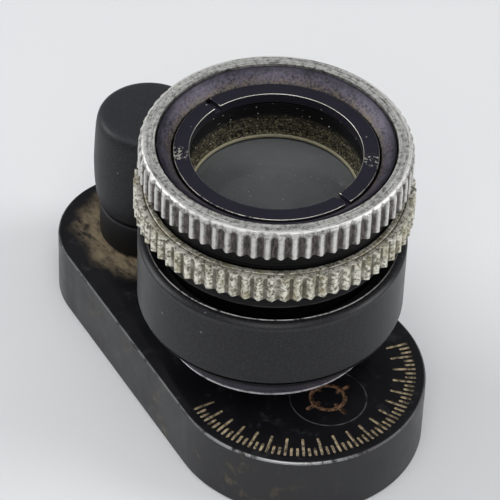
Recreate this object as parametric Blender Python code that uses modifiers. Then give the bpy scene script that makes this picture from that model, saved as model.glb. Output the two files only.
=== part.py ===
"""Stand loupe: a focusing eyepiece held over a teardrop base plate by a pillar that turns.

Metres, +Z up. The origin is on the surface that the plate stands on, at the middle of the
object's length. +X points from the pillar to the loupe. The plate's outline and the loupe are
symmetric about XZ, and the pillar's axis lies 0.86 mm to the +Y side.
Profiles of turned pieces are (radius, height) pairs in millimetres.
"""

from math import acos, cos, pi, radians, sin, sqrt

import bmesh
import bpy
from mathutils import Matrix, Vector

MM = 0.001
GAP = 0.3  # clearance in mm between pieces that touch or turn on each other

# Base plate, mm
FRONT_X, FRONT_R = 14.9, 17.6
REAR_X, REAR_R = -20.3, 12.2
PLATE_T, PLATE_EDGE = 10.0, 0.65
APERTURE_R = 8.0
PIVOT_BORE_R = 4.4
POCKET_R, POCKET_TOP = 6.2, 4.0
PIVOT_SHOULDER_R, PIVOT_SHANK_R = 2.45, 1.7

# Loupe head, mm. Heights are above the surface under the plate
LOUPE_X = 8.3
NOSE_R, NOSE_Z = 14.4, 14.4
BARREL_R, BARREL_Z, BARREL_TOP = 18.1, 20.1, 30.9
BARREL_BORE_R, BARREL_THICK_R, BARREL_STEP_Z = 16.9, 15.4, 25.5
LOCK_R, LOCK_Z, LOCK_TOP = 18.7, 35.8, 39.5
EYE_R, EYE_Z, EYE_TOP = 18.12, 42.6, 46.85
THREAD_R, THREAD_Z = 16.4, 32.5
SLEEVE_R, SLEEVE_Z = 14.5, 24.4
LENS_R, LENS_BORE_R, CLEAR_R = 12.3, 12.7, 11.06
SPANNER_R, SPANNER_TOP = 13.5, 45.36
SPANNER_SLOT_ANGLE = 4.4

# Straight flutes of the two knurled rings
EYE_FLUTES, LOCK_FLUTES, FLUTE_DEPTH = 64, 68, 0.6

# Pillar, arm and the screws through them, mm. The pillar stands a little to one side of the plate's centreline
PILLAR_X, PILLAR_Y = -20.35, 0.86
PILLAR_R, PILLAR_FOOT_R, PILLAR_Z = 7.72, 6.9, 15.95
ARM_Z, ARM_TOP, ARM_HALF_WIDTH = 20.8, 29.2, 4.6
ARM_SCREW_Z, ARM_SCREW_Y, ARM_SCREW_R, ARM_HEAD_R = 23.0, 2.7, 1.05, 1.8
ARM_HEAD_X, ARM_TIP_X = -27.0, -7.6

SHARP = radians(32)
ALONG_X = Matrix.Rotation(pi / 2, 4, "Y")


def clear_scene():
    for obj in list(bpy.data.objects):
        bpy.data.objects.remove(obj, do_unlink=True)


def new_collection(name):
    made = bpy.data.collections.new(name)
    bpy.context.scene.collection.children.link(made)
    return made


def finish(name, colour, roughness, metallic, transmission=0.0):
    material = bpy.data.materials.new(name)
    material.use_nodes = True
    shader = material.node_tree.nodes["Principled BSDF"]
    shader.inputs["Base Color"].default_value = (*colour, 1)
    shader.inputs["Roughness"].default_value = roughness
    shader.inputs["Metallic"].default_value = metallic
    shader.inputs["Transmission Weight"].default_value = transmission
    return material


def black_anodised(name):
    return finish(name, (0.035, 0.034, 0.04), 0.42, 0.4)


def steel(name):
    return finish(name, (0.5, 0.5, 0.49), 0.35, 1.0)


def place(name, mesh, material, parent, home):
    """Link a mesh under its parent empty, with smooth faces and sharp edges."""
    obj = bpy.data.objects.new(name, mesh)
    home.objects.link(obj)
    obj.parent = parent
    if material:
        mesh.materials.append(material)
    mesh.shade_smooth()
    mesh.set_sharp_from_angle(angle=SHARP)
    return obj


def turned(name, profile, material, parent, steps=36):
    """A profile turned about Z. It runs down the outside from the top.

    One that starts and ends on the axis is solid, and any other is closed into a ring.
    """
    bm = bmesh.new()
    points = [bm.verts.new((r * MM, 0, z * MM)) for r, z in profile]
    for start, end in zip(points, points[1:]):
        bm.edges.new((start, end))
    if profile[0][0] > 0:
        bm.edges.new((points[-1], points[0]))
    mesh = bpy.data.meshes.new(name)
    bm.to_mesh(mesh)
    bm.free()
    obj = place(name, mesh, material, parent, parts)
    turn = obj.modifiers.new("Turn", "SCREW")
    turn.axis = "Z"
    turn.angle = 2 * pi
    turn.steps = turn.render_steps = steps
    turn.use_merge_vertices = True
    turn.merge_threshold = 1e-6
    turn.use_smooth_shade = True
    return obj


def cutter(name, mesh_maker, matrix):
    """A helper solid for a Boolean, hidden in renders."""
    bm = bmesh.new()
    mesh_maker(bm)
    mesh = bpy.data.meshes.new(name)
    bm.to_mesh(mesh)
    bm.free()
    obj = bpy.data.objects.new(name, mesh)
    cutters.objects.link(obj)
    obj.matrix_world = matrix
    obj.hide_render = True
    obj.display_type = "WIRE"
    return obj


def round_cutter(name, radius, depth, centre, turn=None, sides=32):
    def make(bm):
        bmesh.ops.create_cone(
            bm, cap_ends=True, segments=sides, radius1=radius * MM, radius2=radius * MM, depth=depth * MM
        )

    return cutter(name, make, Matrix.Translation(Vector(centre) * MM) @ (turn or Matrix()))


def box_cutter(name, size, centre, turn=None):
    def make(bm):
        bmesh.ops.create_cube(bm, size=1, matrix=Matrix.Diagonal((*(Vector(size) * MM), 1)))

    return cutter(name, make, Matrix.Translation(Vector(centre) * MM) @ (turn or Matrix()))


def cut(obj, *tools):
    for tool in tools:
        boolean = obj.modifiers.new(tool.name, "BOOLEAN")
        boolean.operation = "DIFFERENCE"
        boolean.solver = "EXACT"
        boolean.object = tool


def axis_empty(name, x, y=0.0, parent=None):
    """An empty on a joint's axis, in the plane of the surface under the plate."""
    empty = bpy.data.objects.new(name, None)
    parts.objects.link(empty)
    empty.empty_display_size = 10 * MM
    empty.parent = parent
    offset = parent.matrix_world.translation if parent else Vector()
    empty.location = Vector((x, y, 0)) * MM - offset
    bpy.context.view_layer.update()
    return empty


def arc(centre_x, radius, start, end, count):
    """Points along an arc about (centre_x, 0), angles in radians."""
    step = (end - start) / (count - 1)
    angles = [start + i * step for i in range(count)]
    return [(centre_x + radius * cos(a), radius * sin(a)) for a in angles]


def flat_plate(name, outline, thickness):
    """A filled outline, extruded from the surface up and welded into a mesh."""
    curve = bpy.data.curves.new(name, "CURVE")
    curve.dimensions = "2D"
    curve.fill_mode = "BOTH"
    curve.extrude = thickness * MM / 2
    spline = curve.splines.new("POLY")
    spline.points.add(len(outline) - 1)
    for point, (x, y) in zip(spline.points, outline):
        point.co = (x * MM, y * MM, 0, 1)
    spline.use_cyclic_u = True
    drawn = bpy.data.objects.new(name + "_outline", curve)
    parts.objects.link(drawn)
    graph = bpy.context.evaluated_depsgraph_get()
    mesh = bpy.data.meshes.new_from_object(drawn.evaluated_get(graph))
    bpy.data.objects.remove(drawn, do_unlink=True)
    bm = bmesh.new()
    bm.from_mesh(mesh)
    bmesh.ops.remove_doubles(bm, verts=bm.verts, dist=1e-6)
    bmesh.ops.recalc_face_normals(bm, faces=bm.faces)
    bmesh.ops.translate(bm, verts=bm.verts, vec=(0, 0, thickness * MM / 2))
    bm.to_mesh(mesh)
    bm.free()
    return mesh


def base_plate():
    """Heavy teardrop plate: a wide round front, straight flanks, a narrow end about the pillar."""
    tangent = acos((FRONT_R - REAR_R) / (FRONT_X - REAR_X))
    outline = arc(FRONT_X, FRONT_R, -tangent, tangent, 33)
    outline += arc(REAR_X, REAR_R, tangent, 2 * pi - tangent, 25)
    black = finish("base_black", (0.03, 0.032, 0.038), 0.45, 0.4)
    plate = place("base_plate", flat_plate("base_plate", outline, PLATE_T), black, None, parts)
    edge = plate.modifiers.new("Rounded edge", "BEVEL")
    edge.width = PLATE_EDGE * MM
    edge.segments = 2
    edge.limit_method = "ANGLE"
    edge.angle_limit = radians(60)
    middle = PLATE_T / 2
    cut(
        plate,
        round_cutter("cut_aperture", APERTURE_R, 3 * PLATE_T, (LOUPE_X, 0, middle), sides=36),
        round_cutter("cut_pivot_bore", PIVOT_BORE_R, 3 * PLATE_T, (PILLAR_X, PILLAR_Y, middle)),
        round_cutter("cut_pivot_pocket", POCKET_R, 2 * POCKET_TOP, (PILLAR_X, PILLAR_Y, 0)),
    )


def pivot(plate_axis, swing):
    """What the pillar turns on: a bush in the plate, a fibre washer and a screw from below."""
    bore_r = PIVOT_SHOULDER_R + GAP
    bush_r, bush_top, bush_z = PIVOT_BORE_R - GAP, PLATE_T - 0.2, POCKET_TOP + 0.2
    bush = [(bush_r, bush_top), (bush_r, bush_z), (bore_r, bush_z), (bore_r, bush_top)]
    turned("pivot_bush", bush, finish("bronze", (0.45, 0.28, 0.12), 0.4, 1.0), plate_axis, 32)

    washer_top, washer_z, washer_r = POCKET_TOP - GAP, POCKET_TOP - 0.9, POCKET_R - 0.5
    washer = [(washer_r, washer_top), (washer_r, washer_z), (bore_r, washer_z), (bore_r, washer_top)]
    turned("friction_washer", washer, finish("red_fibre", (0.2, 0.05, 0.03), 0.8, 0.0), plate_axis, 32)

    head_r, head_top, head_z, tip_z = POCKET_R - 0.6, washer_z - GAP, 0.8, 19.2
    screw = [(0, tip_z), (PIVOT_SHANK_R, tip_z - 0.4), (PIVOT_SHANK_R, PLATE_T)]
    screw += [(PIVOT_SHOULDER_R, PLATE_T - 0.1), (PIVOT_SHOULDER_R, head_top), (head_r, head_top)]
    screw += [(head_r, head_z + 0.3), (head_r - 0.3, head_z), (0, head_z)]
    pivot_screw = turned("pivot_screw", screw, steel("pivot_steel"), swing, 32)
    cut(pivot_screw, box_cutter("cut_pivot_slot", (3 * head_r, 1.1, 1.6), (PILLAR_X, PILLAR_Y, head_z)))


def pillar(swing):
    """Turned black pillar, fuller in the middle, on a narrower foot collar."""
    sides = [(7.0, 31.2), (7.3, 30.4), (7.5, 28.6), (7.65, 25.6), (PILLAR_R, 23.0), (7.6, 19.6)]
    profile = [(0, 31.9), (3.9, 31.85), (6.5, 31.65), *sides, (7.1, 16.8), (6.5, PILLAR_Z), (0, PILLAR_Z)]
    body = turned("pillar", profile, finish("pillar_black", (0.03, 0.03, 0.033), 0.5, 0.2), swing)
    tools = [round_cutter("cut_pivot_thread", PIVOT_SHANK_R + GAP, 8, (PILLAR_X, PILLAR_Y, PILLAR_Z - 0.3), sides=24)]
    for side in (-1, 1):
        y = PILLAR_Y + side * ARM_SCREW_Y
        way = (PILLAR_X, y, ARM_SCREW_Z)
        head = (ARM_HEAD_X - 0.9, y, ARM_SCREW_Z)
        tools.append(round_cutter(f"cut_screw_way_{side}", ARM_SCREW_R + GAP, 40, way, ALONG_X, 20))
        tools.append(round_cutter(f"cut_screw_head_{side}", ARM_HEAD_R + GAP, 5.6, head, ALONG_X, 24))
    cut(body, *tools)

    foot_top, foot_z, bore_r = PILLAR_Z - GAP, PLATE_T + GAP, PIVOT_SHANK_R + GAP
    foot = [(PILLAR_FOOT_R - 0.2, foot_top), (PILLAR_FOOT_R, foot_top - 0.2), (PILLAR_FOOT_R, foot_z + 0.2)]
    foot += [(PILLAR_FOOT_R - 0.2, foot_z), (bore_r, foot_z), (bore_r, foot_top)]
    turned("foot_collar", foot, finish("collar_black", (0.012, 0.012, 0.014), 0.6, 0.2), swing)


def bridge_arm(swing):
    """Short block between pillar and barrel, hollowed at both ends to sit on their round sides."""
    near, far = PILLAR_X + 4, LOUPE_X - 14
    size = Vector((far - near, 2 * ARM_HALF_WIDTH, ARM_TOP - ARM_Z)) * MM
    centre = Vector(((near + far) / 2 - PILLAR_X, 0, (ARM_TOP + ARM_Z) / 2)) * MM
    bm = bmesh.new()
    bmesh.ops.create_cube(bm, size=1, matrix=Matrix.Translation(centre) @ Matrix.Diagonal((*size, 1)))
    mesh = bpy.data.meshes.new("bridge_arm")
    bm.to_mesh(mesh)
    bm.free()
    arm = place("bridge_arm", mesh, black_anodised("arm_black"), swing, parts)
    middle = (ARM_TOP + ARM_Z) / 2
    tools = [
        round_cutter("cut_arm_pillar", PILLAR_R + GAP, 20, (PILLAR_X, PILLAR_Y, middle), sides=48),
        round_cutter("cut_arm_barrel", BARREL_R + GAP, 20, (LOUPE_X, 0, middle), sides=96),
    ]
    for side in (-1, 1):
        way = (PILLAR_X + 8, PILLAR_Y + side * ARM_SCREW_Y, ARM_SCREW_Z)
        tools.append(round_cutter(f"cut_arm_way_{side}", ARM_SCREW_R + GAP, 12, way, ALONG_X, 20))
    cut(arm, *tools)


def arm_screw(name, side, swing):
    """Long slotted screw from the back of the pillar, through the arm, into the barrel's wall."""
    length, head = ARM_TIP_X - ARM_HEAD_X, 1.5
    profile = [(0, length), (ARM_SCREW_R - 0.25, length), (ARM_SCREW_R, length - 0.4), (ARM_SCREW_R, head)]
    profile += [(ARM_HEAD_R, head), (ARM_HEAD_R, 0.25), (ARM_HEAD_R - 0.25, 0), (0, 0)]
    screw = turned(name, profile, steel(name + "_steel"), swing, 20)
    centre = Vector((ARM_HEAD_X, PILLAR_Y + side * ARM_SCREW_Y, ARM_SCREW_Z))
    screw.location = (centre - Vector((PILLAR_X, PILLAR_Y, 0))) * MM
    screw.rotation_euler = (0, pi / 2, 0)
    cut(screw, box_cutter(f"cut_{name}_slot", (1.2, 0.55, 3 * ARM_HEAD_R), centre))


def barrel(head):
    """The outer body: thick wall below for the arm's screws, thin above for the threaded bush."""
    profile = [(BARREL_BORE_R, BARREL_TOP), (17.25, BARREL_TOP), (17.85, 30.65), (BARREL_R, 30.3)]
    profile += [(BARREL_R, BARREL_Z + 0.3), (BARREL_R - 0.25, BARREL_Z), (BARREL_THICK_R, BARREL_Z)]
    profile += [(BARREL_THICK_R, BARREL_STEP_Z), (BARREL_BORE_R, BARREL_STEP_Z)]
    body = turned("barrel", profile, black_anodised("barrel_black"), head, 48)
    for side in (-1, 1):
        way = (LOUPE_X - BARREL_R, PILLAR_Y + side * ARM_SCREW_Y, ARM_SCREW_Z)
        cut(body, round_cutter(f"cut_barrel_way_{side}", ARM_SCREW_R + GAP, 8, way, ALONG_X, 20))


def nose_ring(head):
    """Conical lower ring, which closes the barrel and leaves a gap over the plate for the work."""
    shoulder, spigot_r, spigot_top = BARREL_Z - GAP, BARREL_THICK_R - GAP, 21.5
    profile = [(spigot_r, spigot_top), (spigot_r, shoulder), (17.9, shoulder), (NOSE_R, NOSE_Z + 0.3)]
    profile += [(NOSE_R - 0.3, NOSE_Z), (12.4, NOSE_Z), (12.4, 15.4), (13.5, 18.5), (13.5, spigot_top)]
    turned("nose_ring", profile, black_anodised("nose_black"), head, 48)


def focus_bush(head):
    """Internally threaded ring in the barrel, which the focusing tube screws through."""
    outer, inner, top, bottom = BARREL_BORE_R - GAP, SLEEVE_R + GAP, 28.9, BARREL_STEP_Z + GAP
    turned("focus_bush", [(outer, top), (outer, bottom), (inner, bottom), (inner, top)], black_anodised("bush"), head)


def dome(centre_z, edge_z, radius, count=4):
    """(radius, height) points of a lens face, from its middle to its edge."""
    sag = centre_z - edge_z
    sphere = (radius**2 + sag**2) / (2 * sag)
    radii = [radius * i / (count - 1) for i in range(count)]
    return [(r, centre_z - sphere + (1 if sphere > 0 else -1) * sqrt(sphere**2 - r**2)) for r in radii]


def lenses(axis):
    """A doublet: a thick biconvex eye lens over a plano-concave field lens."""
    under_eye, over_field = dome(33.4, 34.6, LENS_R), dome(33.1, 34.3, LENS_R)
    glass = finish("crown_glass", (0.75, 0.8, 0.76), 0.05, 0.0, 0.9)
    flint = finish("flint_glass", (0.75, 0.78, 0.72), 0.05, 0.0, 0.9)
    turned("eye_lens", dome(39.6, 37.2, LENS_R) + under_eye[::-1], glass, axis)
    turned("field_lens", over_field + [(LENS_R, 30.6), (0, 30.6)], flint, axis)


def focus_tube(axis):
    """The black lens tube: lens seat inside, locking thread outside, plain sleeve below."""
    top, seat, step = 44.4, 43.6, EYE_Z - GAP
    profile = [(14.7, top), (14.7, step), (THREAD_R, step), (THREAD_R, THREAD_Z), (SLEEVE_R, THREAD_Z)]
    profile += [(SLEEVE_R, SLEEVE_Z), (13.2, SLEEVE_Z), (13.2, 28.0), (LENS_BORE_R, 28.0), (LENS_BORE_R, 38.0)]
    profile += [(CLEAR_R, 38.0), (CLEAR_R, 38.4), (11.6, 38.4), (11.6, seat), (SPANNER_R + GAP, seat)]
    profile += [(SPANNER_R + GAP, top)]
    turned("focus_tube", profile, black_anodised("tube_black"), axis)


def lens_retainer(axis):
    """Ring that holds the two lenses up against the lip of the tube."""
    outer, top, bottom = LENS_BORE_R - GAP, 30.3, 28.6
    turned("lens_retainer", [(outer, top), (outer, bottom), (11.3, bottom), (11.3, top)], black_anodised("retainer"), axis)


def eyecup_dish(axis):
    """Black dished insert inside the eye ring."""
    profile = [(15.45, 46.7), (15.65, 46.7), (15.65, 44.9), (15.0, 44.7), (13.8, 44.7), (13.8, 45.1)]
    turned("eyecup_dish", profile, finish("dish_purple", (0.06, 0.045, 0.07), 0.5, 0.4), axis)


def spanner_ring(axis):
    """Retaining ring at the eye end, with two slots for a pin spanner."""
    bottom, inner = 43.9, 11.42
    profile = [(SPANNER_R - 0.15, SPANNER_TOP), (SPANNER_R, SPANNER_TOP - 0.15), (SPANNER_R, bottom)]
    profile += [(inner, bottom), (inner, SPANNER_TOP - 0.15), (inner + 0.15, SPANNER_TOP)]
    ring = turned("spanner_ring", profile, black_anodised("spanner_black"), axis)
    turn = Matrix.Rotation(radians(SPANNER_SLOT_ANGLE), 4, "Z")
    cut(ring, box_cutter("cut_spanner_slot", (40, 0.9, 1.6), (LOUPE_X, 0, SPANNER_TOP), turn))


def knurled(name, section, flutes, material, axis):
    """A ring with straight V flutes round its outer side.

    section goes from the outer top edge over the top, down the bore and along the underside to
    the outer bottom edge, and the flutes join its two ends.
    """
    bm = bmesh.new()
    loops = []
    for index, (r, z) in enumerate(section):
        depth = FLUTE_DEPTH if index in (0, len(section) - 1) else 0
        angles = [i * pi / flutes for i in range(2 * flutes)]
        radii = [(r - depth * (i % 2)) * MM for i in range(2 * flutes)]
        loops.append([bm.verts.new((R * cos(a), R * sin(a), z * MM)) for R, a in zip(radii, angles)])
    for first, second in zip(loops, loops[1:] + loops[:1]):
        for i in range(2 * flutes):
            j = (i + 1) % (2 * flutes)
            bm.faces.new((first[i], first[j], second[j], second[i]))
    bmesh.ops.recalc_face_normals(bm, faces=bm.faces)
    mesh = bpy.data.meshes.new(name)
    bm.to_mesh(mesh)
    bm.free()
    return place(name, mesh, material, axis, parts)


def focus_ring(axis):
    """The knurled ring at the eye end, which turns the lens tube."""
    section = [(EYE_R, EYE_TOP - 0.85), (17.5, EYE_TOP), (15.95, EYE_TOP), (15.95, 44.6), (15.0, 44.6)]
    section += [(15.0, EYE_Z), (EYE_R, EYE_Z)]
    knurled("focus_ring", section, EYE_FLUTES, finish("satin_nickel", (0.62, 0.61, 0.59), 0.35, 1.0), axis)


def lock_ring(axis):
    """The knurled ring that runs down the tube's thread and locks against the barrel."""
    bore = THREAD_R + GAP
    section = [(LOCK_R, LOCK_TOP), (17.6, LOCK_TOP), (bore, LOCK_TOP), (bore, LOCK_Z), (LOCK_R, LOCK_Z)]
    knurled("lock_ring", section, LOCK_FLUTES, finish("worn_nickel", (0.58, 0.55, 0.45), 0.4, 1.0), axis)


def lock_washer(axis):
    """Thin washer under the lock ring, which meets the barrel's rim and doesn't turn."""
    top, outer, inner = LOCK_Z - GAP, 17.6, THREAD_R + 0.35
    turned("lock_washer", [(outer, top), (outer, top - 0.5), (inner, top - 0.5), (inner, top)], steel("washer"), axis)


clear_scene()
parts = new_collection("stand_loupe")
cutters = new_collection("cutters")

base_plate()
plate_axis = axis_empty("plate_pillar_axis", PILLAR_X, PILLAR_Y)
swing = axis_empty("swing_axis", PILLAR_X, PILLAR_Y)
pivot(plate_axis, swing)
pillar(swing)
bridge_arm(swing)
arm_screw("arm_screw_left", 1, swing)
arm_screw("arm_screw_right", -1, swing)

loupe_axis = axis_empty("loupe_axis", LOUPE_X, parent=swing)
barrel(loupe_axis)
nose_ring(loupe_axis)
focus_bush(loupe_axis)

focus_axis = axis_empty("focus_axis", LOUPE_X, parent=loupe_axis)
lenses(focus_axis)
focus_tube(focus_axis)
lens_retainer(focus_axis)
eyecup_dish(focus_axis)
spanner_ring(focus_axis)
focus_ring(focus_axis)

lock_axis = axis_empty("lock_axis", LOUPE_X, parent=loupe_axis)
lock_washer(lock_axis)
lock_ring(lock_axis)
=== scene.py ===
import math

import bmesh
import bpy
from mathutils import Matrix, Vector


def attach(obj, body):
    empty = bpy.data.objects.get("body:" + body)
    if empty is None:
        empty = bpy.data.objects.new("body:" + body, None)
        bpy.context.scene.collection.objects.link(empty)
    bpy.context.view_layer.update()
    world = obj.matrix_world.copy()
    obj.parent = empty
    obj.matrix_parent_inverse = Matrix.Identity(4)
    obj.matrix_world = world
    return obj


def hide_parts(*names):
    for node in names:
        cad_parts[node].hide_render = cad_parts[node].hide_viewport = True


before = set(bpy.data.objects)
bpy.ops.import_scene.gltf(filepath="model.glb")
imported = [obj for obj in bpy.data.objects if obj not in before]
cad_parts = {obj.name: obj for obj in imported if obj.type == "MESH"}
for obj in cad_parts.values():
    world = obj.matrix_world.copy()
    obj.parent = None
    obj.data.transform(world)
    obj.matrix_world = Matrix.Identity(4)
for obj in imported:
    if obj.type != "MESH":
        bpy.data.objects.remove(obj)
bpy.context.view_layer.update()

# --- Base plate -------------------------------------------------------------
# A drop-shaped plate of steel, 10 mm thick, blacked and satin. It is milled to
# its outline, bored under the loupe and under the pillar, and its top is cut
# with a graduated arc and a sighting mark, which are filled with paint.
mm = 0.001
loupe, post = (8.3 * mm, 0.0), (-20.35 * mm, 0.86 * mm)
front_x, rear_x = 14.9 * mm, -20.3 * mm
plate_top = 10.0 * mm
front_radius, rear_radius = 17.6 * mm, 12.2 * mm


def settle(name):
    """The object just made takes its name, and its place goes into its mesh."""
    piece = bpy.context.object
    piece.name = piece.data.name = name
    bpy.ops.object.transform_apply(location=True, rotation=True, scale=True)
    return piece


def alone(piece):
    """Only this piece is selected, and it is the active one."""
    if bpy.context.object and bpy.context.object.mode != "OBJECT":
        bpy.ops.object.mode_set(mode="OBJECT")
    bpy.ops.object.select_all(action="DESELECT")
    if piece:
        piece.select_set(True)
        bpy.context.view_layer.objects.active = piece
    return piece


def pick(piece, kind, test):
    """In edit mode, selects the vertices, edges or faces that pass the test."""
    bpy.ops.mesh.select_mode(type=kind)
    bpy.ops.mesh.select_all(action="DESELECT")
    mesh = bmesh.from_edit_mesh(piece.data)
    for item in {"VERT": mesh.verts, "EDGE": mesh.edges, "FACE": mesh.faces}[kind]:
        if test(item):
            item.select_set(True)
    mesh.select_flush_mode()
    bmesh.update_edit_mesh(piece.data)


def worked(piece, kind, **settings):
    """Adds a modifier with these settings and applies it."""
    alone(piece)
    modifier = piece.modifiers.new(kind.title(), kind)
    for name, value in settings.items():
        setattr(modifier, name, value)
    bpy.ops.object.modifier_apply(modifier=modifier.name)
    return piece


def cut(piece, tool):
    """The tool's shape is taken out of the piece, and its paint stays in the cut."""
    worked(piece, "BOOLEAN", object=tool, solver="EXACT", material_mode="TRANSFER")
    bpy.data.objects.remove(tool)
    return piece


def drill(piece, radius, depth, place, turn=(0, 0, 0)):
    """A round hole, centred on the place."""
    alone(None)
    bpy.ops.mesh.primitive_cylinder_add(
        vertices=96, radius=radius, depth=depth, location=place, rotation=turn
    )
    return cut(piece, settle("drill"))


def eased(piece, width, segments=3, angle=32):
    """Rounds the sharp edges, and shades the rest as the flats and curves they are."""
    worked(
        piece, "BEVEL", width=width, segments=segments, limit_method="ANGLE",
        angle_limit=math.radians(angle), use_clamp_overlap=True, miter_outer="MITER_ARC",
    )
    alone(piece)
    bpy.ops.object.shade_smooth_by_angle(angle=math.radians(angle))
    worked(piece, "WEIGHTED_NORMAL", keep_sharp=True, weight=80)
    return piece


def fitted(piece, body, slot, *nodes):
    """The piece moves with its body and stands for its CAD nodes."""
    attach(piece, body)
    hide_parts(*nodes)


def tone(red, green, blue):
    """A colour by its display values, 0 to 255, as light."""
    return tuple(
        (c / 255 / 12.92) if c <= 10 else ((c / 255 + 0.055) / 1.055) ** 2.4
        for c in (red, green, blue)
    ) + (1.0,)


class Number:
    """A node's output. Sums with it add Math nodes."""

    def __init__(self, finish, socket):
        self.finish, self.socket = finish, socket

    def sum(self, operation, first, second):
        return self.finish.node("Math", {"operation": operation}, {0: first, 1: second})

    def __add__(self, other):
        return self.sum("ADD", self, other)

    def __sub__(self, other):
        return self.sum("SUBTRACT", self, other)

    def __rsub__(self, other):
        return self.sum("SUBTRACT", other, self)

    def __mul__(self, other):
        return self.sum("MULTIPLY", self, other)

    def __pow__(self, other):
        return self.sum("POWER", self, other)

    __radd__, __rmul__ = __add__, __mul__


class Finish:
    """A material: node() adds any node, and the others are the patterns that pieces share."""

    def __init__(self, name):
        self.material = bpy.data.materials.new(name)
        self.material.use_nodes = True
        self.tree = self.material.node_tree
        self.shader = self.tree.nodes["Principled BSDF"]
        self.place = self.node("TexCoord", {}, {}, "Object")
        parts = self.node("SeparateXYZ", {}, {0: self.place}).socket.node
        self.x, self.y, self.z = (Number(self, out) for out in parts.outputs)

    def feed(self, socket, value):
        if isinstance(value, Number):
            self.tree.links.new(value.socket, socket)
        else:
            socket.default_value = value

    def node(self, kind, settings, sockets, output=0):
        node = self.tree.nodes.new("ShaderNode" + kind)
        for name, value in settings.items():
            setattr(node, name, value)
        for name, value in sockets.items():
            self.feed(node.inputs[name], value)
        return Number(self, node.outputs[output])

    def noise(self, size, detail=4.0, rough=0.55, stretch=(1, 1, 1)):
        """Cloudy mottling whose patches are about this wide."""
        place = self.node("Mapping", {}, {"Vector": self.place, "Scale": stretch})
        return self.node(
            "TexNoise", {},
            {"Vector": place, "Scale": 1 / size, "Detail": detail, "Roughness": rough},
        )

    def rise(self, value, low, high):
        """0 at low and 1 at high, smoothly. With low above high it falls."""
        return self.node(
            "MapRange", {"interpolation_type": "SMOOTHSTEP"},
            {"Value": value, "From Min": low, "From Max": high},
        )

    def band(self, value, middle, half, soft):
        """1 within half of the middle, and 0 past the soft edge."""
        off = self.node("Math", {"operation": "ABSOLUTE"}, {0: value - middle})
        return self.rise(off, half + soft, half)

    def specks(self, size, radius, share):
        """Scattered grains: one in each cell of this size, and this share of them kept."""
        cell = self.node(
            "TexVoronoi", {}, {"Vector": self.place, "Scale": 1 / size}
        ).socket.node
        draw = self.node("SeparateColor", {}, {0: Number(self, cell.outputs["Color"])})
        near = self.rise(Number(self, cell.outputs["Distance"]), radius, radius * 0.5)
        return near * self.rise(draw, share + 0.01, share)

    def radius(self, axis):
        """Distance from the upright line through this x and y."""
        across, along = self.x - axis[0], self.y - axis[1]
        return (across * across + along * along) ** 0.5

    def facing_up(self):
        """The z of the surface's own normal."""
        normal = self.node("TexCoord", {}, {}, "Normal")
        return Number(self, self.node("SeparateXYZ", {}, {0: normal}).socket.node.outputs[2])

    def mix(self, factor, first, second):
        """From the first colour at 0 to the second at 1."""
        return self.node(
            "Mix", {"data_type": "RGBA"}, {0: factor, 6: first, 7: second}, 2
        )

    def towards(self, centre_x, degrees, reach):
        """1 at this reach from the upright line through x, on this bearing, and -1 opposite it."""
        bearing = math.radians(degrees)
        across = (self.x - centre_x) * (math.cos(bearing) / reach)
        return across + self.y * (math.sin(bearing) / reach)

    def coats(self, colour, *layers):
        """The colour, with each layer's own colour laid over it by the layer's factor."""
        for factor, layer in layers:
            colour = self.mix(factor, colour, layer)
        return colour

    def made(self, bump=None, depth=0.0, **sockets):
        """Sets the shader's sockets, and the bump from a height of this depth."""
        for name, value in sockets.items():
            label = name.replace("_", " ").title().replace("Ior", "IOR")
            self.feed(self.shader.inputs[label], value)
        if bump is not None:
            height = self.node(
                "Bump", {}, {"Height": bump, "Distance": depth, "Strength": 1.0}
            )
            self.feed(self.shader.inputs["Normal"], height)
        return self.material


black = Finish("base_black_satin")
clouds = black.noise(5 * mm, 5)
grain = black.noise(0.35 * mm, 3, 0.6)
scuff = black.noise(2.2 * mm, 6, 0.65, (1, 1, 0.35))
from_pillar = black.radius(post)
upward = black.facing_up()
top_face = black.rise(upward, 0.9, 0.99)
# The bevel's bright edge: partly real wear, partly painted highlight, painted strongest on the
# front corner facing the camera.
edge = black.band(upward, 0.55, 0.28, 0.16) * black.rise(black.z, 8 * mm, 9.4 * mm)
toward_camera_highlight = black.rise(black.towards(front_x, -48, front_radius), 0.72, 0.95)
front_edge_wear_and_highlight = edge * (toward_camera_highlight * 0.8 + 0.2) * black.rise(scuff, 0.36, 0.5)
smear = black.noise(1.3 * mm, 6, 0.65, (0.45, 1.5, 1))
dirt = (
    black.rise(from_pillar + (clouds - 0.5) * (7 * mm), 11.4 * mm, 8.4 * mm)
    * black.rise(smear * 0.7 + grain * 0.3, 0.32, 0.58)
    * black.rise(clouds, 0.3, 0.5)
)
grime = black.rise(black.noise(3 * mm, 6, 0.7), 0.56, 0.68)
grime *= black.rise(black.y, -8 * mm, -19 * mm)
body_tone = black.coats(
    black.mix(clouds, tone(9, 9, 12), tone(17, 17, 21)),
    # Faces turned to the side are painted lighter than the top: painted sheen.
    (black.rise(upward, 0.6, 0.2), tone(40, 40, 42)),
    (black.rise(scuff, 0.56, 0.74) * 0.35, tone(74, 74, 76)),
    (dirt * top_face * 0.85, black.mix(smear, tone(112, 98, 74), tone(156, 140, 114))),
    (grime * 0.5 * (1 - top_face), tone(112, 98, 70)),
    (front_edge_wear_and_highlight * 0.8, tone(196, 196, 196)),
)
base_black = black.made(
    base_color=body_tone,
    roughness=black.rise(clouds, 0.2, 0.8) * 0.14 + 0.32 + dirt * 0.4,
    metallic=front_edge_wear_and_highlight * 0.8, specular_ior_level=0.32,
    bump=grain * 0.6 + scuff, depth=0.02 * mm,
)

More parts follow.
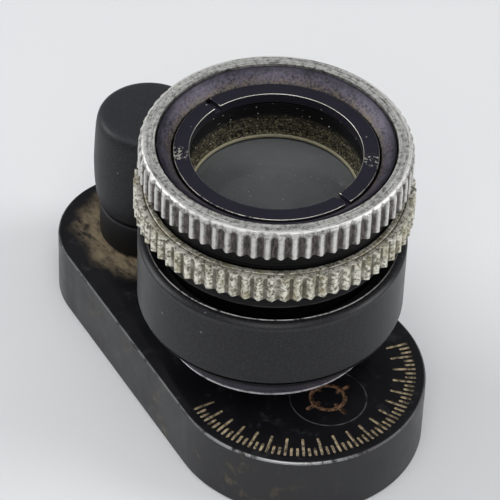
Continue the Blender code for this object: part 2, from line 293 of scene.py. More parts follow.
cream = Finish("engraving_cream")
patchy = cream.noise(0.7 * mm, 5, 0.7)
engraving_cream = cream.made(
    base_color=cream.mix(cream.rise(patchy, 0.62, 0.4), tone(92, 82, 66), tone(205, 190, 160)),
    roughness=0.7 + patchy * 0.2, bump=patchy, depth=0.04 * mm,
)
gilt = Finish("engraving_bronze")
patchy = gilt.noise(0.6 * mm, 5, 0.7)
engraving_bronze = gilt.made(
    base_color=gilt.mix(gilt.rise(patchy, 0.6, 0.42), tone(60, 46, 36), tone(154, 118, 90)),
    roughness=0.5 + patchy * 0.25, metallic=0.35, bump=patchy, depth=0.04 * mm,
)
scratch = Finish("scribed_line")
engraving_scratch = scratch.made(
    base_color=scratch.mix(
        scratch.rise(scratch.noise(1.5 * mm, 4), 0.4, 0.6), tone(34, 34, 37), tone(88, 86, 84)
    ),
    roughness=0.5,
)

alone(None)
bpy.ops.mesh.primitive_circle_add(vertices=216, radius=front_radius, location=(front_x, 0, 0))
plate = settle("base_plate_body")
bpy.ops.object.mode_set(mode="EDIT")
tangent = math.pi / 2 + math.asin((front_radius - rear_radius) / (front_x - rear_x))
pick(plate, "VERT", lambda v: abs(math.atan2(v.co.y, v.co.x - front_x)) > tangent)
shrink = rear_radius / front_radius
bpy.ops.transform.resize(value=(shrink,) * 3, center_override=(front_x, 0, 0))
bpy.ops.transform.translate(value=(rear_x - front_x, 0, 0))
bpy.ops.mesh.select_all(action="SELECT")
bpy.ops.mesh.edge_face_add()
bpy.ops.mesh.extrude_region_move(TRANSFORM_OT_translate={"value": (0, 0, plate_top)})
bpy.ops.mesh.select_all(action="SELECT")
bpy.ops.mesh.normals_make_consistent(inside=False)
alone(plate)
plate.data.materials.append(base_black)
aperture, pivot_bore, pocket, right_through = 8 * mm, 4.4 * mm, 6.2 * mm, 40 * mm
drill(plate, aperture, right_through, (*loupe, 0))
drill(plate, pivot_bore, right_through, (*post, 0))
drill(plate, pocket, 8 * mm, (*post, 0))
eased(plate, 0.5 * mm, 4)


def scribe(name, length, width, place, paint, angle=0.0):
    """A cutter for one stroke with rounded ends, along the angle. Half its height is sunk."""
    alone(None)
    bpy.ops.mesh.primitive_cube_add(size=1, location=place, rotation=(0, 0, angle))
    bpy.context.object.scale = (length, width, 0.44 * mm)
    stroke = settle(name)
    bpy.ops.object.mode_set(mode="EDIT")
    pick(stroke, "EDGE", lambda e: abs(e.verts[0].co.z - e.verts[1].co.z) > 0.1 * mm)
    bpy.ops.mesh.bevel(offset=width * 0.49, offset_type="OFFSET", segments=4)
    bpy.ops.mesh.select_all(action="SELECT")
    alone(stroke)
    stroke.data.materials.append(paint)
    return stroke


def repeat(stroke, centre_x, step, count):
    """The stroke again and again round an upright axis."""
    alone(stroke)
    bpy.ops.object.mode_set(mode="EDIT")
    bpy.ops.mesh.select_all(action="SELECT")
    bpy.ops.mesh.spin(
        steps=count, dupli=True, angle=-math.radians(step * count),
        center=(centre_x, 0, 0), axis=(0, 0, 1),
    )
    return alone(stroke)


first = math.radians(-99)
for length, middle, offset, step, count in (
    (3.2, 14.65, 0.0, 9.0, 19), (1.5, 15.5, 3.0, 9.0, 18), (1.5, 15.5, 6.0, 9.0, 18),
):
    angle = first + math.radians(offset)
    place = (front_x + math.cos(angle) * middle * mm, math.sin(angle) * middle * mm, plate_top)
    tick = scribe("tick", length * mm, 0.38 * mm, place, engraving_cream, angle)
    cut(plate, repeat(tick, front_x, step, count))

mark_x = loupe[0] + 13.2 * mm
bar = scribe("bar", 2.4 * mm, 0.62 * mm, (mark_x + 2.6 * mm, 0, plate_top), engraving_bronze)
cut(plate, repeat(bar, mark_x, 90, 3))


def turned(name, axis, profile, steps=180):
    """A lathe job: the section, in mm as radius and height, is drawn point by point and spun."""
    alone(None)
    radius, height = profile[0]
    start = (axis[0] + radius * mm, axis[1], height * mm)
    bpy.ops.mesh.primitive_plane_add(size=mm, location=start)
    piece = settle(name)
    bpy.ops.object.mode_set(mode="EDIT")
    bpy.ops.mesh.select_mode(type="VERT")
    bpy.ops.mesh.select_all(action="SELECT")
    bpy.ops.mesh.merge(type="CENTER")
    for next_radius, next_height in profile[1:] + profile[:1]:
        move = ((next_radius - radius) * mm, 0, (next_height - height) * mm)
        bpy.ops.mesh.extrude_region_move(TRANSFORM_OT_translate={"value": move})
        radius, height = next_radius, next_height
    bpy.ops.mesh.select_all(action="SELECT")
    bpy.ops.mesh.spin(steps=steps, angle=2 * math.pi, center=(*axis, 0), axis=(0, 0, 1))
    bpy.ops.mesh.select_all(action="SELECT")
    bpy.ops.mesh.remove_doubles(threshold=0.001 * mm)
    bpy.ops.mesh.normals_make_consistent(inside=False)
    return alone(piece)


def square_ring(inner, outer, low, high):
    """The section of a ring with square corners."""
    return [(inner, low), (outer, low), (outer, high), (inner, high)]


def groove(inner, outer, depth, paint, steps):
    """A cutter for a ring let into the plate's top round the mark."""
    ring = turned("groove", (mark_x, 0), square_ring(inner, outer, 10 - depth, 10.3), steps)
    ring.data.materials.append(paint)
    return ring


cut(plate, groove(2.0, 2.62, 0.22, engraving_bronze, 64))
cut(plate, groove(5.15, 5.35, 0.06, engraving_scratch, 96))
fitted(plate, "base", "base_black", "base_plate")

# --- Pivot: bush, friction washer and shoulder screw ---------------------------
# The pillar turns on a slotted steel shoulder screw, put in from below and sunk
# in a pocket. The screw runs in a bronze bush pressed in the plate, over a red
# fibre washer that gives the turn its drag.
metal = Finish("oilite_bronze")
clouds = metal.noise(1.2 * mm, 5)
bronze = metal.made(
    base_color=metal.mix(clouds, tone(120, 86, 52), tone(176, 132, 84)), metallic=0.9,
    roughness=clouds * 0.3 + 0.3, bump=metal.noise(0.2 * mm, 3), depth=0.01 * mm,
)
fibre = Finish("red_fibre")
clouds = fibre.noise(0.9 * mm, 6, 0.7)
red_fibre = fibre.made(
    base_color=fibre.mix(clouds, tone(98, 34, 26), tone(136, 58, 44)), roughness=0.75,
    bump=fibre.noise(0.15 * mm, 4), depth=0.03 * mm,
)
metal = Finish("blued_steel")
clouds = metal.noise(1.6 * mm, 5)
worn = metal.rise(metal.noise(0.8 * mm, 5, 0.65), 0.52, 0.66)
blueing = metal.mix(clouds, tone(48, 48, 52), tone(74, 74, 80))
blued_steel = metal.made(
    base_color=metal.mix(worn * 0.6, blueing, tone(150, 148, 142)),
    metallic=0.85, roughness=clouds * 0.25 + 0.28,
    bump=metal.noise(0.25 * mm, 4), depth=0.012 * mm,
)

bush = turned("pivot_bush_sleeve", post, square_ring(2.75, 4.1, 4.2, 9.8), 96)
bush.data.materials.append(bronze)
fitted(eased(bush, 0.2 * mm), "base", "bronze", "pivot_bush")
washer = turned("friction_washer_disc", post, square_ring(2.75, 5.7, 3.1, 3.7), 96)
washer.data.materials.append(red_fibre)
fitted(eased(washer, 0.08 * mm, 2), "base", "red_fibre", "friction_washer")


def slotted(piece, width, depth, place, turn=(0, 0, 0)):
    """A screwdriver slot: a bar of this width and depth is taken out at the place."""
    alone(None)
    bpy.ops.mesh.primitive_cube_add(size=1, location=place, rotation=turn)
    bpy.context.object.scale = (30 * mm, width, depth)
    return cut(piece, settle("slot"))


pivot = turned(
    "pivot_screw_body", post,
    [(0, 0.8), (5.2, 0.8), (5.6, 1.2), (5.6, 2.8), (2.45, 2.8), (2.45, 9.9), (1.7, 9.9),
     (1.7, 18.9), (1.4, 19.2), (0, 19.2)],
    96,
)
pivot.data.materials.append(blued_steel)
slotted(pivot, 1.1 * mm, 1.8 * mm, (*post, 0.8 * mm))
fitted(eased(pivot, 0.15 * mm), "head", "steel", "pivot_screw")

# --- Pillar and foot collar --------------------------------------------------
# A short round post of painted brass with a softly domed top, which carries the
# loupe. It stands on a narrower turned collar and turns on the plate with it.
matt = Finish("pillar_matt_black")
clouds = matt.noise(3.5 * mm, 5)
grain = matt.noise(0.25 * mm, 3, 0.6)
upward = matt.facing_up()
paint_tone = matt.coats(
    matt.mix(clouds, tone(16, 17, 20), tone(26, 27, 31)),
    # The domed top is painted lighter than the sides: painted light.
    (matt.rise(upward, 0.7, 0.98) * 0.4, tone(56, 57, 61)),
    (matt.rise(matt.noise(0.3 * mm, 2), 0.42, 0.66) * 0.3, tone(60, 62, 66)),
    # Darker towards the bottom, near-black on the foot collar: painted shade under the pillar's
    # body.
    (matt.rise(matt.z, 15.9 * mm, 15.0 * mm), tone(4, 5, 8)),
    (matt.specks(2.6 * mm, 0.08, 0.12) * 0.5, tone(130, 130, 128)),
)
pillar_paint = matt.made(
    base_color=paint_tone, roughness=clouds * 0.14 + 0.4, specular_ior_level=0.35,
    bump=grain + clouds, depth=0.02 * mm,
)
pillar = turned(
    "pillar_post", post,
    [(0, 31.9), (2.0, 31.89), (3.9, 31.85), (5.4, 31.76), (6.3, 31.64), (6.75, 31.44),
     (7.02, 31.14), (7.2, 30.76), (7.33, 30.2), (7.42, 29.4), (7.5, 28.4), (7.58, 27.0),
     (7.66, 25.4), (7.71, 24.0), (7.72, 22.6), (7.68, 21.0), (7.58, 19.4), (7.42, 18.0),
     (7.18, 17.0), (6.95, 16.35), (6.6, 16.0), (6.3, 15.95), (1.9, 15.95), (1.9, 19.6), (0, 19.6)],
    144,
)
pillar.data.materials.append(pillar_paint)
along_x = (0, math.pi / 2, 0)
screw_z = 23 * mm
right_y, left_y = post[1] - 2.7 * mm, post[1] + 2.7 * mm
for way_y in (right_y, left_y):
    drill(pillar, 1.35 * mm, 30 * mm, (post[0], way_y, screw_z), along_x)
    drill(pillar, 2.1 * mm, 8 * mm, (-29.1 * mm, way_y, screw_z), along_x)
fitted(eased(pillar, 0.12 * mm), "head", "pillar_black", "pillar")
collar = turned("foot_collar_ring", post, square_ring(2.0, 6.9, 10.3, 15.65), 120)
collar.data.materials.append(pillar_paint)
fitted(eased(collar, 0.25 * mm), "head", "pillar_black", "foot_collar")

# --- Bridge arm and its two screws --------------------------------------------
# A short block of black anodised aluminium, hollowed at each end to sit on the
# pillar and on the barrel. Two slotted steel screws pass through the pillar from
# behind, and pull pillar, arm and barrel together.
anodised = Finish("black_anodised")
clouds = anodised.noise(4 * mm, 5)
grain = anodised.noise(0.22 * mm, 3, 0.6)
from_axis = anodised.radius(loupe)
blotch = anodised.noise(1.4 * mm, 6, 0.7)
# The rim's inner edge, worn bare and painted bright: partly painted highlight, strongest towards
# the camera.
rim = anodised.band(from_axis, 16.98 * mm, 0.07 * mm, 0.07 * mm)
rim *= anodised.rise(anodised.z, 30.7 * mm, 30.8 * mm)
toward_camera_highlight = anodised.rise(anodised.towards(loupe[0], -40, 17 * mm), 0.3, 0.95)
rim *= toward_camera_highlight * 0.8 + 0.2
chamfer = anodised.band(anodised.z, 30.2 * mm, 0.35 * mm, 0.25 * mm)
# The lip band, worn bare and painted bright: partly painted highlight.
lip_wear_and_highlight = anodised.band(anodised.z, 14.5 * mm, 0.12 * mm, 0.12 * mm)
# Both marks are worn metal and painted highlight together, painted near-white below.
bare = rim * anodised.rise(blotch, 0.36, 0.52) + lip_wear_and_highlight * anodised.rise(blotch, 0.4, 0.55) * 0.7
barrel_tone = anodised.coats(
    anodised.mix(clouds, tone(13, 13, 15), tone(20, 20, 23)),
    (anodised.rise(anodised.noise(0.3 * mm, 2), 0.42, 0.66) * 0.5, tone(46, 47, 50)),
    (chamfer * blotch * 0.5, tone(60, 60, 64)),
    (anodised.specks(2.4 * mm, 0.1, 0.3) * 0.6, tone(120, 120, 122)),
    (bare, tone(236, 234, 230)),
)
anodised_black = anodised.made(
    base_color=barrel_tone, roughness=clouds * 0.1 + 0.32, metallic=bare * 0.2,
    specular_ior_level=0.3,
    bump=grain * 0.7 + blotch * 0.6, depth=0.012 * mm,
)
alone(None)
arm_x = -11.6 * mm
bpy.ops.mesh.primitive_cube_add(size=1, location=(arm_x, post[1], 25 * mm))
bpy.context.object.scale = (9 * mm, 9.2 * mm, 8.4 * mm)
arm = settle("bridge_arm_block")
arm.data.materials.append(anodised_black)
drill(arm, 8.02 * mm, 30 * mm, (*post, 25 * mm))
drill(arm, 18.4 * mm, 30 * mm, (*loupe, 25 * mm))
for way_y in (right_y, left_y):
    drill(arm, 1.3 * mm, 30 * mm, (arm_x, way_y, screw_z), along_x)
fitted(eased(arm, 0.3 * mm), "head", "black_anodised", "bridge_arm")

screw = turned(
    "arm_screw_left_body", (0, 0),
    [(0, 0), (1.55, 0), (1.8, 0.25), (1.8, 1.5), (1.05, 1.5), (1.05, 19.2), (0.85, 19.4),
     (0, 19.4)],
    48,
)
slotted(screw, 0.55 * mm, 1.3 * mm, (0, 0, 0), (0, 0, math.radians(20)))
screw.data.materials.append(blued_steel)
eased(screw, 0.1 * mm)
screw.rotation_euler = along_x
screw.location = (-27.0 * mm, left_y, screw_z)
alone(screw)
bpy.ops.object.duplicate()
twin = bpy.context.object
twin.location.y = right_y
settle("arm_screw_right_body")
alone(screw)
settle("arm_screw_left_body")
fitted(screw, "head", "steel", "arm_screw_left")
fitted(twin, "head", "steel", "arm_screw_right")

# --- Barrel, nose ring and focusing bush --------------------------------------
# The fixed body of the loupe: a turned aluminium barrel with a chamfered rim, a
# nose ring screwed into its foot, and inside it the threaded bush in which the
# eyepiece runs. All are black anodised, and the handled edges are worn bright.
# The rim's bright line and the nose ring's near-white lip are worn metal and
# painted highlight together, the rim's painted strongest on the camera side.
barrel = turned(
    "barrel_shell", loupe,
    [(16.9, 30.9), (17.25, 30.9), (17.85, 30.65), (18.1, 30.3), (18.1, 20.4), (17.85, 20.1),
     (15.4, 20.1), (15.4, 25.5), (16.9, 25.5)],
    240,
)
barrel.data.materials.append(anodised_black)
for way_y in (right_y, left_y):
    drill(barrel, 1.2 * mm, 8 * mm, (-8.5 * mm, way_y, screw_z), along_x)
fitted(eased(barrel, 0.15 * mm), "head", "black_anodised", "barrel")

violet = Finish("violet_black")
blotch = violet.noise(1.6 * mm, 6, 0.7)
# The lip: bare metal, painted near-white as painted highlight on an edge that lies in shade.
lip_wear_and_highlight = violet.band(violet.z, 14.72 * mm, 0.16 * mm, 0.12 * mm)
lip_wear_and_highlight *= violet.rise(violet.radius(loupe), 13.9 * mm, 14.2 * mm)
violet_tone = violet.coats(
    violet.mix(violet.noise(3 * mm), tone(66, 64, 74), tone(90, 87, 99)),
    (violet.rise(violet.z, 17.6 * mm, 19.6 * mm), tone(22, 22, 26)),
    (lip_wear_and_highlight * violet.rise(blotch, 0.3, 0.5), tone(250, 246, 250)),
)
violet_black = violet.made(
    base_color=violet_tone, roughness=blotch * 0.12 + 0.3, metallic=lip_wear_and_highlight * 0.2,
    bump=violet.noise(0.22 * mm, 3), depth=0.01 * mm,
)
nose = turned(
    "nose_ring_cone", loupe,
    [(15.1, 21.5), (15.1, 19.8), (17.9, 19.8), (14.56, 14.94), (14.5, 14.5), (14.3, 14.4),
     (12.4, 14.4), (12.4, 15.4), (13.5, 18.5), (13.5, 21.5)],
    240,
)
nose.data.materials.append(violet_black)
fitted(eased(nose, 0.12 * mm), "head", "black_anodised", "nose_ring")


def threaded(radius, low, high, pitch, depth):
    """Points down a thread's flank from high to low, crest at the radius."""
    count = int((high - low) / pitch)
    points = []
    for turn in range(count):
        top = high - turn * pitch
        points += [(radius, top), (radius, top - pitch * 0.3), (radius - depth, top - pitch * 0.65)]
    return points + [(radius, low)]


bush = turned(
    "focus_bush_ring", loupe,
    [(16.6, 25.8), (16.6, 28.9)] + threaded(14.8, 25.8, 28.9, 0.5, -0.15), 144,
)
bush.data.materials.append(anodised_black)
fitted(eased(bush, 0.05 * mm, 1, 50), "head", "black_anodised", "focus_bush")

# --- Lenses ---------------------------------------------------------------
# Two uncoated crown glass lenses, ground and polished, their edges ground matt.
# The eye lens is dusty with a film of grime, and the field lens is clean.
# The grey film is laid thicker on the eye lens's far side: painted light.
glass = Finish("dusty_glass")
film = glass.noise(4 * mm, 5, 0.6)
haze = glass.rise(film, 0.1, 0.9) * 0.12 + 0.27
grains = glass.specks(0.8 * mm, 0.14, 0.2) + glass.specks(2.1 * mm, 0.08, 0.35)
at_edge = glass.rise(glass.radius(loupe), 10.2 * mm, 11.2 * mm)
# The far side is given more grey film, so it reads lighter: painted light.
far_side_lightening = glass.rise(glass.x - loupe[0] - glass.y, 2 * mm, -13 * mm)
cover = haze + grains * 0.7 + at_edge * 0.22 + far_side_lightening * 0.38
glass.made(base_color=tone(205, 212, 205), roughness=0.03, transmission_weight=1.0, ior=1.52)
grey_film = glass.node("BsdfPrincipled", {}, {"Base Color": tone(120, 122, 124), "Roughness": 0.8})
blend = glass.node("MixShader", {}, {0: cover, 1: Number(glass, glass.shader.outputs[0]), 2: grey_film})
glass.feed(glass.tree.nodes["Material Output"].inputs["Surface"], blend)


def dome(radius, edge, centre, count=14):
    """Points from the rim up, or down, to the axis along part of a sphere."""
    rise = centre - edge
    sphere = (radius**2 + rise**2) / (2 * abs(rise))
    points = []
    for i in range(count + 1):
        r = radius * (1 - i / count)
        drop = sphere - math.sqrt(sphere**2 - r**2)
        points.append((r, centre - math.copysign(drop, rise)))
    return points


eye = turned("eye_lens_glass", loupe, dome(12.3, 37.2, 39.6)[::-1] + dome(12.3, 34.6, 33.4), 120)
eye.data.materials.append(glass.material)
alone(eye)
bpy.ops.object.shade_smooth_by_angle(angle=math.radians(32))
fitted(eye, "lens_group", "lens_glass", "eye_lens")
clear = Finish("clear_glass")
clear_glass = clear.made(
    base_color=tone(215, 222, 216), roughness=clear.noise(2 * mm) * 0.05,
    transmission_weight=1.0, ior=1.62,
)
field = turned(
    "field_lens_glass", loupe, dome(12.3, 34.3, 33.1)[::-1] + [(12.3, 30.6), (0, 30.6)], 120
)
field.data.materials.append(clear_glass)
alone(field)
bpy.ops.object.shade_smooth_by_angle(angle=math.radians(32))
fitted(field, "lens_group", "lens_glass", "field_lens")

# --- Focusing tube and lens retainer ------------------------------------------
# The eyepiece's brass tube, blacked, with a fine thread outside for focusing and
# a fine thread inside above the lens seat. Dust has caught in the inner thread.
# A slotted ring screwed in from below holds both lenses against the seat.
tube = Finish("tube_blacked_brass")
clouds = tube.noise(2.5 * mm, 5)
flecks = tube.noise(0.45 * mm, 5, 0.75)
from_axis = tube.radius(loupe)
in_bore = tube.rise(from_axis, 12.2 * mm, 11.9 * mm)
low_bore = in_bore * tube.rise(tube.z, 41.9 * mm, 40.2 * mm)
dirt = low_bore * tube.rise(flecks, 0.36, 0.6)
seat = tube.rise(from_axis, 11.34 * mm, 11.26 * mm)
dust_tone = tube.mix(
    tube.rise(tube.noise(0.22 * mm, 3), 0.42, 0.62), tone(66, 60, 46), tone(150, 141, 114)
)
foot_wear = tube.band(tube.z, 32.6 * mm, 0.12 * mm, 0.1 * mm) * tube.rise(clouds, 0.35, 0.55)
tube_tone = tube.coats(
    tube.mix(clouds, tone(5, 5, 7), tone(11, 11, 13)),
    (dirt * 0.85, dust_tone),
    (seat * tube.rise(flecks, 0.2, 0.4), tone(176, 170, 142)),
    (in_bore * tube.specks(0.55 * mm, 0.2, 0.25), tone(210, 206, 190)),
    (foot_wear * 0.12, tone(140, 138, 132)),
)
tube_black = tube.made(
    base_color=tube_tone, roughness=dirt * 0.35 + 0.42, specular_ior_level=0.22,
    bump=flecks * (dirt * 4 + 0.5), depth=0.03 * mm,
)
sleeve = turned(
    "focus_tube_sleeve", loupe,
    [(14.7, 44.4), (14.7, 42.3)] + threaded(16.4, 32.9, 42.3, 0.55, 0.16)
    + [(16.4, 32.5), (14.5, 32.5), (14.5, 24.4), (13.2, 24.4), (13.2, 28), (12.7, 28),
       (12.7, 38), (11.06, 38), (11.06, 38.4)]
    + threaded(11.6, 38.4, 43.6, 0.48, -0.18)[::-1] + [(13.8, 43.6), (13.8, 44.4)],
    216,
)
sleeve.data.materials.append(tube_black)
fitted(eased(sleeve, 0.05 * mm, 1, 60), "eyepiece", "tube_black", "focus_tube")
retainer = turned("lens_retainer_ring", loupe, square_ring(11.3, 12.4, 28.6, 30.3), 144)
retainer.data.materials.append(anodised_black)
slotted(retainer, 0.8 * mm, 1.2 * mm, (*loupe, 28.6 * mm))
fitted(eased(retainer, 0.1 * mm, 2), "eyepiece", "black_anodised", "lens_retainer")

# --- Eyecup dish --------------------------------------------------------------
# A shallow cone of violet-grey anodised aluminium round the eyehole, pressed in
# the focusing ring. Its foot is brown with old dust, and its slope is scuffed.
dish_look = Finish("dish_violet_anodised")
clouds = dish_look.noise(2.2 * mm, 6, 0.65)
fine = dish_look.noise(0.4 * mm, 5, 0.7)
from_axis = dish_look.radius(loupe)
foot = dish_look.rise(from_axis + (clouds - 0.5) * (1.3 * mm), 14.75 * mm, 13.9 * mm)
slope_band = dish_look.band(from_axis, 14.55 * mm, 0.3 * mm, 0.35 * mm)
mottled = dish_look.rise(clouds * 0.5 + fine * 0.5, 0.36, 0.62)
dish_tone = dish_look.coats(
    dish_look.mix(mottled, tone(34, 32, 40), tone(80, 76, 88)),
    (slope_band * dish_look.rise(fine, 0.3, 0.65) * 0.5, tone(112, 105, 120)),
    (foot * dish_look.rise(fine, 0.4, 0.6) * 0.8, tone(108, 98, 82)),
    (dish_look.rise(from_axis, 15.2 * mm, 15.5 * mm) * 0.7, tone(34, 30, 44)),
)
dish_violet = dish_look.made(
    base_color=dish_tone, metallic=0.55, roughness=fine * 0.3 + 0.34,
    bump=fine, depth=0.02 * mm,
)
dish = turned(
    "eyecup_dish_cone", loupe,
    [(15.45, 46.7), (15.65, 46.7), (15.65, 44.9), (15.0, 44.7), (13.8, 44.7), (13.8, 45.1)], 240,
)
dish.data.materials.append(dish_violet)
fitted(eased(dish, 0.05 * mm, 2), "eyepiece", "dish_violet", "eyecup_dish")

# --- Spanner ring -----------------------------------------------------------
# A flat ring of dark violet anodised aluminium, screwed into the tube to hold
# the dish. It has two slots for a spanner, and its corners are worn to metal.
ring_look = Finish("spanner_violet_black")
fine = ring_look.noise(0.5 * mm, 5, 0.7)
clouds = ring_look.noise(2.5 * mm, 5)
from_axis = ring_look.radius(loupe)
upward = ring_look.facing_up()
chips = ring_look.noise(0.9 * mm, 5, 0.7)
corner = ring_look.band(upward, 0.6, 0.34, 0.04) * ring_look.rise(ring_look.z, 45.1 * mm, 45.2 * mm)
inner_wear = corner * ring_look.rise(from_axis, 11.9 * mm, 11.7 * mm)
outer_wear = corner * ring_look.rise(from_axis, 13.2 * mm, 13.3 * mm)
outer_wear *= ring_look.rise(chips, 0.36, 0.52)
knock = ring_look.rise(ring_look.radius((17.3 * mm, 9.0 * mm)), 1.5 * mm, 0.8 * mm)
knock += ring_look.rise(ring_look.radius((1.1 * mm, -10.9 * mm)), 1.8 * mm, 0.9 * mm)
ding = knock * ring_look.rise(ring_look.noise(0.4 * mm, 2), 0.54, 0.58)
marks = ding * 0.8 + ring_look.specks(1.1 * mm, 0.13, 0.16) * 0.6
bare = ring_look.node("Math", {"operation": "MAXIMUM"}, {0: inner_wear + outer_wear, 1: marks})
ring_tone = ring_look.mix(clouds, tone(28, 27, 38), tone(40, 38, 52))
ring_tone = ring_look.mix(bare, ring_tone, tone(226, 222, 210))
spanner_violet = ring_look.made(
    base_color=ring_tone, metallic=bare * 0.5 + 0.35, roughness=fine * 0.2 + 0.32,
    bump=fine - bare, depth=0.015 * mm,
)
spanner = turned("spanner_ring_flat", loupe, square_ring(11.42, 13.5, 43.9, 45.36), 240)
spanner.data.materials.append(spanner_violet)
slot_angle = math.radians(4.4)
slotted(spanner, 0.9 * mm, 1.6 * mm, (*loupe, 45.36 * mm), (0, 0, slot_angle))
fitted(eased(spanner, 0.12 * mm, 3), "eyepiece", "dish_violet", "spanner_ring")

# --- Focusing ring -----------------------------------------------------------
# The knurled ring that the fingers turn, in satin nickel plate on brass, pressed
# on the tube. Coarse straight flutes run out in points on its chamfered top.
nickel = Finish("satin_nickel")
mottle = nickel.noise(0.7 * mm, 7, 0.75)
streaks = nickel.noise(0.4 * mm, 5, 0.7, (1, 1, 0.3))
from_axis = nickel.radius(loupe)
deep = nickel.rise(from_axis, 18.06 * mm, 17.78 * mm) * nickel.rise(nickel.z, 46.3 * mm, 45.8 * mm)
high = nickel.rise(from_axis, 18.0 * mm, 18.1 * mm)
turning = nickel.node(
    "CombineXYZ", {}, {0: from_axis * 5000, 1: nickel.x * 160, 2: nickel.y * 160}
)
scratches = nickel.node(
    "TexNoise", {}, {"Vector": turning, "Scale": 1.0, "Detail": 4.0, "Roughness": 0.7}
)
brink = nickel.band(from_axis, 17.5 * mm, 0.16 * mm, 0.14 * mm)
brink *= nickel.rise(nickel.z, 46.5 * mm, 46.7 * mm)
polish = nickel.rise(mottle * 0.6 + scratches * 0.4, 0.38, 0.62)
flute_tone = nickel.mix(nickel.rise(streaks, 0.44, 0.6), tone(34, 28, 28), tone(104, 92, 88))
nickel_tone = nickel.coats(
    nickel.mix(polish, tone(92, 91, 87), tone(240, 239, 234)),
    (nickel.rise(mottle, 0.54, 0.64) * 0.55, tone(96, 94, 90)),
    (deep * 0.93, flute_tone),
    (high * 0.6 + brink * nickel.rise(scratches, 0.34, 0.52) * 0.85, tone(240, 238, 234)),
)
satin_nickel = nickel.made(
    base_color=nickel_tone, metallic=0.55 - deep * 0.3, roughness=mottle * 0.3 + 0.26 + deep * 0.2,
    bump=mottle * 1.4 + scratches * 0.5, depth=0.05 * mm,
)


def fluted(piece, radius, width, count, low, high):
    """Straight V flutes all round: one triangular bar, repeated, is taken out of the edge."""
    depth = 0.6 * mm
    edge_x = loupe[0] + radius
    alone(None)
    bpy.ops.mesh.primitive_cylinder_add(
        vertices=3, radius=depth * 2, depth=high - low,
        location=(edge_x + depth, 0, (low + high) / 2), rotation=(0, 0, math.pi / 2),
    )
    bar = settle("flute")
    bpy.ops.object.mode_set(mode="EDIT")
    bpy.ops.mesh.select_all(action="SELECT")
    half_width = math.sqrt(3) * depth / 3
    wider = (1, width / 2 / half_width, 1)
    bpy.ops.transform.resize(value=wider, center_override=(edge_x, 0, 0))
    pick(bar, "EDGE", lambda e: max(v.co.x for v in e.verts) < edge_x - depth * 0.9)
    bpy.ops.mesh.bevel(offset=0.14 * mm, offset_type="OFFSET", segments=3)
    alone(bar)
    return cut(piece, repeat(bar, loupe[0], 360 / count, count - 1))


focus = turned(
    "focus_ring_knurled", loupe,
    [(18.12, 45.9), (17.95, 46.35), (17.5, 46.85), (15.95, 46.85), (15.95, 44.6), (15.0, 44.6),
     (15.0, 42.6), (18.12, 42.6)],
    256,
)
focus.data.materials.append(satin_nickel)
fluted(focus, 18.12 * mm, 1.56 * mm, 64, 41 * mm, 48 * mm)
fitted(eased(focus, 0.07 * mm, 2, 30), "eyepiece", "satin_nickel", "focus_ring")

# --- Lock washer and lock ring -------------------------------------------------
# The knurled lock ring runs down the tube's thread and jams a thin washer on the
# barrel, to hold the focus. Its nickel plate is worn and tarnished yellow.
lock_washer = turned("lock_washer_ring", loupe, square_ring(16.75, 17.6, 35.0, 35.5), 180)
lock_washer.data.materials.append(tube_black)
fitted(eased(lock_washer, 0.08 * mm, 2), "lock_slider", "tube_black", "lock_washer")

brass = Finish("worn_nickel")
mottle = brass.noise(0.6 * mm, 6, 0.72)
clouds = brass.noise(2.6 * mm, 5)
from_axis = brass.radius(loupe)
deep = brass.rise(from_axis, 18.4 * mm, 18.22 * mm) * brass.rise(brass.z, 39.5 * mm, 39.3 * mm)
tips = brass.rise(from_axis, 18.5 * mm, 18.66 * mm)
on_top = brass.rise(brass.z, 39.2 * mm, 39.35 * mm)
# Worn bright knurl tips, and the outer top painted bright as painted light where the focusing ring
# shades it.
tip_wear_and_top_highlight = tips + on_top * brass.rise(from_axis, 17.5 * mm, 17.6 * mm)
groove_line = brass.band(from_axis, 17.48 * mm, 0.08 * mm, 0.05 * mm)
groove_line *= brass.rise(brass.z, 39.2 * mm, 39.3 * mm)
worn_tone = brass.coats(
    brass.mix(brass.rise(mottle, 0.4, 0.6), tone(104, 100, 84), tone(240, 237, 223)),
    (brass.rise(tip_wear_and_top_highlight, 0, 1) * brass.rise(mottle, 0.4, 0.55) * 0.7, tone(246, 243, 230)),
    (brass.rise(clouds, 0.46, 0.66) * 0.5, tone(160, 148, 108)),
    (deep * brass.rise(mottle + (clouds - 0.5), 0.3, 0.56) * 0.85, tone(60, 50, 32)),
    (groove_line * 0.7, tone(70, 64, 48)),
)
worn_nickel = brass.made(
    base_color=worn_tone, metallic=0.6 - deep * 0.3, roughness=mottle * 0.32 + 0.28,
    bump=mottle, depth=0.06 * mm,
)
lock = turned(
    "lock_ring_knurled", loupe,
    [(18.7, 39.5), (17.58, 39.5), (17.5, 39.38), (17.42, 39.38), (17.34, 39.5), (16.7, 39.5),
     (16.7, 35.8), (18.7, 35.8)],
    272,
)
lock.data.materials.append(worn_nickel)
fluted(lock, 18.7 * mm, 1.58 * mm, 68, 34 * mm, 41 * mm)
fitted(eased(lock, 0.07 * mm, 2, 30), "lock_nut", "worn_nickel", "lock_ring")

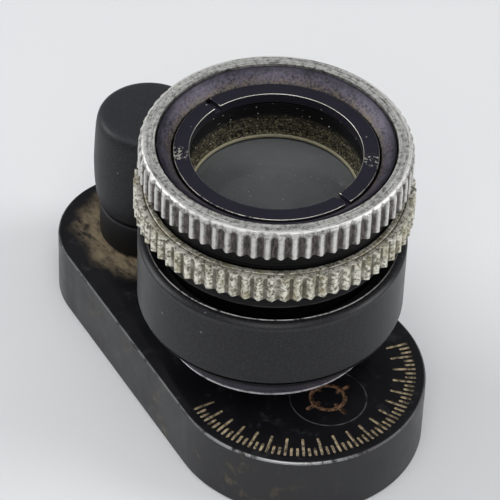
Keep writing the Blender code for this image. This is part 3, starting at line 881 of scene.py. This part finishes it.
# --- Floor, lights and camera -------------------------------------------------
# A plain pale table, soft light from large panels overhead, at the sides and in
# front, and the camera above the front corner of the plate.
alone(None)
bpy.ops.mesh.primitive_plane_add(size=6)
floor = settle("floor")
paper = Finish("pale_table")
paper_tone = paper.mix(paper.noise(60 * mm, 4), tone(226, 227, 229), tone(231, 232, 233))
floor.data.materials.append(paper.made(base_color=paper_tone, roughness=0.9))

world = bpy.data.worlds.new("soft_room")
bpy.context.scene.world = world
world.use_nodes = True
sky = world.node_tree.nodes["Background"].inputs
sky["Color"].default_value = (0.93, 0.96, 1.0, 1)
sky["Strength"].default_value = 0.2


def panel(name, place, target, size, power):
    """A soft square light panel aimed at the target."""
    light = bpy.data.lights.new(name, "AREA")
    light.size, light.energy = size, power
    stand = bpy.data.objects.new(name, light)
    bpy.context.scene.collection.objects.link(stand)
    stand.location = place
    aim = stand.location - Vector(target)
    stand.rotation_euler = aim.to_track_quat("Z", "Y").to_euler()


centre = (*loupe, 25 * mm)
panel("overhead", (0.15, -0.12, 1.3), centre, 1.1, 5.9)
panel("left_side", (-0.9, -0.65, 0.65), centre, 0.7, 8.0)
panel("right_side", (0.75, 0.8, 0.6), centre, 0.6, 6.2)
panel("front_fill", (0.6, -0.5, 0.9), centre, 0.6, 2.8)

scene = bpy.context.scene
scene.view_settings.view_transform = "Standard"
turn, height, roll = math.radians(50.22), math.radians(42.96), math.radians(2.23)
reach = math.cos(height)
back = Vector((math.sin(turn) * reach, -math.cos(turn) * reach, math.sin(height)))
level = Vector((math.cos(turn), math.sin(turn), 0))
upright = back.cross(level)
right = math.cos(roll) * level + math.sin(roll) * upright
over = -math.sin(roll) * level + math.cos(roll) * upright
lens = bpy.data.cameras.new("camera")
lens.sensor_width = 36
lens.lens = 231.1
lens.clip_start, lens.clip_end = 0.05, 20
camera = bpy.data.objects.new("camera", lens)
scene.collection.objects.link(camera)
aside, above, away = -2.6, 9.17, 440.28
spot = Vector((8.3, 0, 15)) + aside * right + above * over + away * back
camera.matrix_world = Matrix(
    [(right[i], over[i], back[i], spot[i] * mm) for i in range(3)] + [(0, 0, 0, 1)]
)
scene.camera = camera
